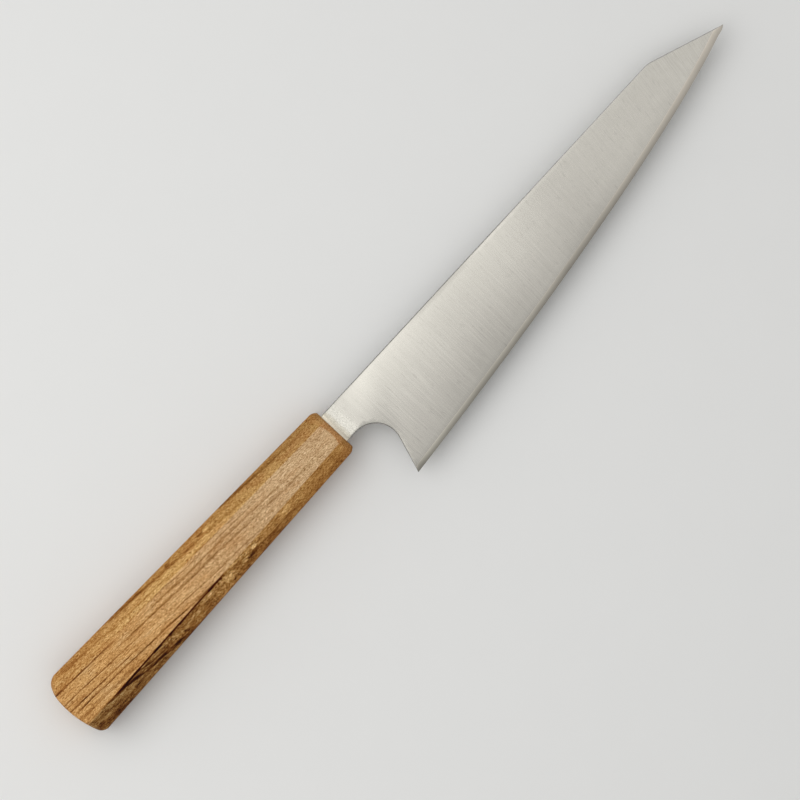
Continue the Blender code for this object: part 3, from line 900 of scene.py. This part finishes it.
def makeBlade():
    s = bladeSizes
    outline = bladeOutline()
    lines = insetLines(outline)
    count = len(outline)
    bm = bmesh.new()
    loops = []
    for face, side in ((rightFace, 1), (leftFace, -1)):
        for j in range(s["rimSteps"] + 1):
            turn = math.pi / 2 * j / s["rimSteps"]
            loop = []
            for place, inwards, rim in lines:
                foot = place + inwards * rim
                at = place + inwards * rim * (1 - math.cos(turn))
                height = faceZ(face, foot.x, foot.y) - rim * (1 - math.sin(turn))
                loop.append(bm.verts.new((at.x, at.y, side * height)))
            loops.append(loop)
    right, left = loops[: s["rimSteps"] + 1], loops[s["rimSteps"] + 1 :]
    order = list(reversed(right)) + left
    for near, far in zip(order, order[1:]):
        # the shoulders stay open for the tang
        joinLoops(bm, near, far, count - s["shoulderSteps"] if near is right[0] else count, 2)
    for face, side, loop in ((rightFace, 1, right[-1]), (leftFace, -1, left[-1])):
        fillFace(bm, face, side, loop, outline)
    bmesh.ops.remove_doubles(bm, verts=bm.verts, dist=nearEnough)
    bmesh.ops.dissolve_degenerate(bm, dist=nearEnough, edges=bm.edges)
    addTang(bm)
    fromEdge = bm.verts.layers.float.new("fromEdge")
    for vert in bm.verts:
        vert[fromEdge] = vert.co.y - edgeY(min(max(vert.co.x, s["heelX"]), s["tipX"]))
    return finishMesh(bm, "bladeSkin")


def finishMesh(bm, name):
    # a closed skin that faces outwards, put in its place in the frame
    bmesh.ops.recalc_face_normals(bm, faces=bm.faces)
    if bm.calc_volume(signed=True) < 0:
        bmesh.ops.reverse_faces(bm, faces=bm.faces)
    loose = sum(not edge.is_manifold for edge in bm.edges)
    print(name, len(bm.faces), "faces,", loose, "open edges,", round(bm.calc_volume(), 1), "mm3")
    for vert in bm.verts:
        vert.co = vert.co * mm + knifeOrigin
    mesh = bpy.data.meshes.new(name)
    bm.to_mesh(mesh)
    bm.free()
    mesh.shade_smooth()
    mesh.set_sharp_from_angle(angle=sharpAngle)
    return mesh


def addObject(name, data):
    made = bpy.data.objects.new(name, data)
    bpy.context.scene.collection.objects.link(made)
    return made


def addPiece(name, mesh, materials, slot, *replaced):
    piece = addObject(name, mesh)
    for look in materials:
        mesh.materials.append(look)
    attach(piece, "root")
    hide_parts(*replaced)


bladeSteel = [makeFaceSteel(), makeBevelSteel(), makeRimSteel()]
addPiece("bladeDressed", makeBlade(), bladeSteel, "satin_steel", "blade")
print("blade made")


# handle

handleSizes = {
    "length": 129.2,
    "frontHeight": 18.66,
    "buttHeight": 25.64,
    "frontThickness": 15.8,
    "buttThickness": 20.2,
    "frontFacet": 8.3,
    "buttFacet": 14.2,
    "frontSide": 6.8,
    "buttSide": 10.2,
    "ridgeRadius": 0.6,
    "boreRadius": 5.04,
    "boreLength": 92.2,
    "frontEaseLength": 2.2,
    "frontEaseDepth": 1.3,
    "buttEaseLength": 2.2,
    "buttEaseDepth": 2.2,
    "buttEaseLift": 0.9,
    "domeRadius": 34.0,
    "domeShift": 1.5,
    "swellRadius": 70.0,
    "spineRoundStart": 6.0,
    "spineRoundRadius": 14.0,
    "planeMarks": 0.05,
    "planeMarkLength": 30.0,
    "planeMarkWidth": 5.0,
}
handleSteps = {"ridge": 4, "flat": 16}  # round each of the eight corners
handleRings = {"boreEnd": 1, "bore": 1, "face": 4, "front": 9, "body": 120, "butt": 10, "dome": 14}


def halfOf(size, name, share):
    # half a height or width of the handle, share of the way from its front to its butt
    return between(size["front" + name], size["butt" + name], share) / 2


def handleTree(look):
    # sweeps an octagon with broken ridges from the bore, round the front edge, to the domed butt
    tree = bpy.data.node_groups.new("octagonHandle", "GeometryNodeTree")
    modifierValues = {}
    for name, value in (*handleSizes.items(), ("look", look)):
        kind = "Material" if value is look else "Float"
        socket = tree.interface.new_socket(name, in_out="INPUT", socket_type="NodeSocket" + kind)
        socket.default_value = value
        modifierValues[socket.identifier] = value
    tree.interface.new_socket("Geometry", in_out="OUTPUT", socket_type="NodeSocketGeometry")
    start = tree.nodes.new("NodeGroupInput")
    size = {name: Field(start.outputs[name]) for name in handleSizes}

    def made(kind, **values):
        return addNode(tree, "GeometryNode" + kind, values).outputs[0]

    ridgeSteps, flatSteps = handleSteps.values()
    cornerSteps = ridgeSteps + flatSteps
    line = made("CurvePrimitiveLine", End=(1.0, 0.0, 0.0))
    line = made("ResampleCurve", Curve=line, Count=sum(handleRings.values()) + 1)
    circle = made("CurvePrimitiveCircle", Resolution=8 * cornerSteps)
    shape = made("CurveToMesh", **{"Curve": line, "Profile Curve": circle})
    index = Field(made("InputIndex"))
    around = index % (8 * cornerSteps)
    station = ((index - around) / (8 * cornerSteps)).math("ROUND")
    zones, first = [], 0
    for count in handleRings.values():
        zones.append(held((station - first) / count))
        first += count
    boreEnd, bore, face, front, body, butt, dome = zones

    corner = (around / cornerSteps).math("FLOOR")
    step = around - corner * cornerSteps
    onRidge = held(step / ridgeSteps)
    onFlat = held((step - ridgeSteps) / flatSteps)

    def octagon(share, insetY, insetZ):
        high, thick = halfOf(size, "Height", share), halfOf(size, "Thickness", share)
        tall, deep = high - insetY, thick - insetZ
        facet = halfOf(size, "Facet", share) * tall / high
        side = halfOf(size, "Side", share) * deep / thick
        radius = size["ridgeRadius"] * deep / thick

        def cornerAt(number):
            # y is high on corners 1, 2, 5, 6 and z is deep on corners 0, 3, 4, 7
            number = number % 8
            quarter = number % 4
            isSide = (quarter - 1.5).math("ABSOLUTE").math("LESS_THAN", 1.0)
            ySign = 1.0 - number.math("GREATER_THAN", 3.5) * 2.0
            zSign = 1.0 - ((number + 2.0) % 8).math("GREATER_THAN", 3.5) * 2.0
            return between(facet, tall, isSide) * ySign, between(deep, side, isSide) * zSign

        def pulled(at, other):
            dy, dz = other[0] - at[0], other[1] - at[1]
            reach = radius / (dy * dy + dz * dz).math("SQRT")
            return at[0] + dy * reach, at[1] + dz * reach

        before, here, after = cornerAt(corner + 7), cornerAt(corner), cornerAt(corner + 1)
        first, last = pulled(here, before), pulled(here, after)
        nextFirst = pulled(after, here)
        point = []
        for axis in (0, 1):
            near = between(first[axis], here[axis], onRidge)
            far = between(here[axis], last[axis], onRidge)
            bend = between(near, far, onRidge)
            point.append(between(bend, nextFirst[axis], onFlat))
        return point

    turn = front * (math.pi / 2)
    fullness = 2 / 1.5
    frontAlong = 1.0 - turn.math("COSINE").math("MAXIMUM", 0.0).math("POWER", fullness)
    frontInwards = 1.0 - turn.math("SINE").math("POWER", fullness)
    buttTurn = (1.0 - butt) * (math.pi / 2)
    buttAlong = 1.0 - buttTurn.math("COSINE")
    buttInwards = 1.0 - buttTurn.math("SINE")
    shrink = 1.0 - dome

    buttY, buttZ = size["buttEaseDepth"] * buttInwards, size["buttEaseLift"] * buttInwards
    onButt = octagon(1.0, buttY, buttZ)
    domeY = onButt[0] * shrink - size["domeShift"]
    domeZ = onButt[1] * shrink
    fallBack = domeY * domeY / size["domeRadius"] / 2 + domeZ * domeZ / size["swellRadius"] / 2
    spineRound = (domeY + size["domeShift"] - size["spineRoundStart"]).math("MAXIMUM", 0.0)
    fallBack = fallBack + spineRound * spineRound / size["spineRoundRadius"] / 2
    buttX = size["buttEaseLength"] * buttAlong + fallBack - size["length"]
    x = between(size["frontEaseLength"] * frontAlong * -1.0, buttX, body)
    share = x / size["length"] * -1.0
    frontIn = size["frontEaseDepth"] * frontInwards
    y, z = octagon(share, frontIn + buttY, frontIn + buttZ)

    # faint hollows left by the plane, always inwards
    markLength, markWidth = size["planeMarkLength"], size["planeMarkWidth"]
    marks = noise((x / markLength, y / markWidth, z / markWidth), 3.0, 0.55)
    out = (y * y + z * z).math("SQRT").math("MAXIMUM", 0.01)
    sunk = 1.0 - marks * size["planeMarks"] * face / out
    y, z = y * shrink * sunk, z * shrink * sunk

    # from the face's outline in to the bore, down it and to its end's middle
    toBore = between(size["boreRadius"] / out, 1.0, face) * boreEnd
    x, y, z = x - size["boreLength"] * (1.0 - bore), y * toBore, z * toBore

    shape = made("SetPosition", Geometry=shape, Position=(x, y, z))
    shape = made("MergeByDistance", Geometry=shape, Distance=nearEnough)
    shape = made("RealizeInstances", Geometry=shape)
    shape = made("SetMaterial", Geometry=shape, Material=start.outputs["look"])
    feed(tree.nodes.new("NodeGroupOutput").inputs[0], shape)
    return tree, modifierValues


def meshFromTree(tree, values):
    # runs a node tree on an empty mesh and keeps the result as a plain mesh
    carrier = addObject("carrier", bpy.data.meshes.new("carrier"))
    modifier = carrier.modifiers.new("shape", "NODES")
    modifier.node_group = tree
    for identifier, value in values.items():
        modifier[identifier] = value
    bpy.context.view_layer.update()
    evaluated = carrier.evaluated_get(bpy.context.evaluated_depsgraph_get())
    made = bpy.data.meshes.new_from_object(evaluated)
    bpy.data.objects.remove(carrier)
    return made


goldenWood = makeHandleWood()
bm = bmesh.new()
bm.from_mesh(meshFromTree(*handleTree(goldenWood)))
addPiece("handleDressed", finishMesh(bm, "handleSkin"), [goldenWood], "golden_oak", "handle_body")
print("handle made")


# neck seal

sealSizes = {
    "length": 1.2,
    "height": 12.1,
    "thickness": 3.7,
    "foot": 0.08,  # how far it spreads where it meets the wood
    "corner": 0.35,
    "middleY": 0.275,
    "rings": 8,
    "cornerSteps": 4,
    "footFade": 4,  # how fast the foot narrows
}


def makeSeal():
    s = sealSizes
    bm = bmesh.new()
    loops = []
    for ring in range(s["rings"] + 1):
        share = ring / s["rings"]
        spread = s["foot"] * (1 - share) ** s["footFade"]
        halfY, halfZ = s["height"] / 2, s["thickness"] / 2 + spread
        loop = []
        for cornerIndex, (ySign, zSign) in enumerate(((1, 1), (-1, 1), (-1, -1), (1, -1))):
            for i in range(s["cornerSteps"] + 1):
                turn = math.pi / 2 * (i / s["cornerSteps"])
                if cornerIndex % 2:
                    turn = math.pi / 2 - turn
                y = halfY - s["corner"] * (1 - math.cos(turn))
                z = halfZ - s["corner"] * (1 - math.sin(turn))
                loop.append(bm.verts.new((share * s["length"], s["middleY"] + ySign * y, zSign * z)))
        loops.append(loop)
    for near, far in zip(loops, loops[1:]):
        joinLoops(bm, near, far, len(near))
    bm.faces.new(loops[0])
    bm.faces.new(list(reversed(loops[-1])))
    return finishMesh(bm, "sealSkin")


sealResin = makeResin("sealResin", sealLook)
addPiece("neckSealDressed", makeSeal(), [sealResin], "seal_resin", "neck_seal")
print("seal made")


# hidden pieces keep their CAD meshes and get their own finishes

beechWood = makeDowelWood()
insideLooks = {"tang_dowel_right": beechWood, "tang_dowel_left": beechWood}
insideLooks["tang_bedding"] = makeResin("beddingResin", beddingLook)
for name, look in insideLooks.items():
    hidden = nodes[name]
    if not hidden.material_slots:
        hidden.data.materials.append(look)
    for slot in hidden.material_slots:
        slot.material = look
print("inside finished")


# floor, light and camera

studio = {
    "floorColour": (0.80, 0.80, 0.785),
    "floorSize": 12.0,
    "floorRoughness": 0.9,
    "floorGrain": 60.0,
    "grainShade": 0.985,
    "worldColour": (1.0, 1.0, 1.0),
    "horizon": 0.37,
    "zenith": 1.0,
    "glowStarts": 0.6,  # the sine of the height above which the dome brightens
    # each softbox: radiance, its two sides, where it hangs and where it looks, in metres
    "softboxes": (
        (1.13, (0.71, 0.8), (-0.28, 0.375, 0.7), (-0.28, 0.375, 0.0)),
        (0.45, (2.6, 2.6), (-1.08, 0.84, 1.08), (-0.03, 0.0, 0.0)),
    ),
}


def makeFloor():
    half = studio["floorSize"] / 2
    mesh = bpy.data.meshes.new("floor")
    corners = [(-half, -half, 0), (half, -half, 0), (half, half, 0), (-half, half, 0)]
    mesh.from_pydata(corners, [], [(0, 1, 2, 3)])
    floor = addObject("floor", mesh)
    floor.location.z = cadBox[0].z
    made = bpy.data.materials.new("paleFloor")
    made.use_nodes = True
    tree = made.node_tree
    place = Field(addNode(tree, "ShaderNodeTexCoord").outputs["Object"])
    grain = noise(place, 3.0, 0.5, studio["floorGrain"])
    low = tuple(channel * studio["grainShade"] for channel in studio["floorColour"])
    shader = tree.nodes["Principled BSDF"]
    feed(shader.inputs["Base Color"], blendColour(grain, low, studio["floorColour"]))
    feed(shader.inputs["Roughness"], studio["floorRoughness"])
    mesh.materials.append(made)


def makeWorld():
    # a white dome, brightest overhead
    world = bpy.data.worlds.new("studio")
    bpy.context.scene.world = world
    world.use_nodes = True
    tree = world.node_tree
    x, y, z = axesOf(tree, addNode(tree, "ShaderNodeTexCoord").outputs["Generated"])
    background = tree.nodes["Background"]
    feed(background.inputs["Color"], studio["worldColour"])
    strength = ramp(z, studio["glowStarts"], 1.0, studio["horizon"], studio["zenith"])
    feed(background.inputs["Strength"], strength)


def makeSoftboxes():
    for number, (radiance, sides, place, aim) in enumerate(studio["softboxes"]):
        lamp = bpy.data.lights.new(f"softbox{number}", "AREA")
        lamp.shape = "RECTANGLE"
        lamp.size, lamp.size_y = sides
        lamp.energy = radiance * math.pi * lamp.size * lamp.size_y
        softbox = addObject(lamp.name, lamp)
        softbox.location = place
        softbox.rotation_euler = (Vector(aim) - Vector(place)).to_track_quat("-Z", "Y").to_euler()


view = {
    "tilt": math.radians(-47.01),  # the photograph's upright, turned about the vertical
    "middle": (-7.0 * mm, -0.5 * mm),
    "width": 267.1 * mm,  # what 800 px take in at the blade's height
    "height": 10.05 * mm,
    "distance": 2.0,
}


def makeCamera():
    lens = bpy.data.cameras.new("camera")
    lens.sensor_width = 36.0
    lens.sensor_fit = "HORIZONTAL"
    lens.lens = lens.sensor_width * view["distance"] / view["width"]
    lens.clip_start, lens.clip_end = 0.05, 50.0
    camera = addObject("camera", lens)
    camera.location = (*view["middle"], view["height"] + view["distance"])
    camera.rotation_euler = (0.0, 0.0, view["tilt"])
    bpy.context.scene.camera = camera


makeFloor()
makeWorld()
makeSoftboxes()
makeCamera()
bpy.context.scene.view_settings.view_transform = "Standard"
print("studio made")
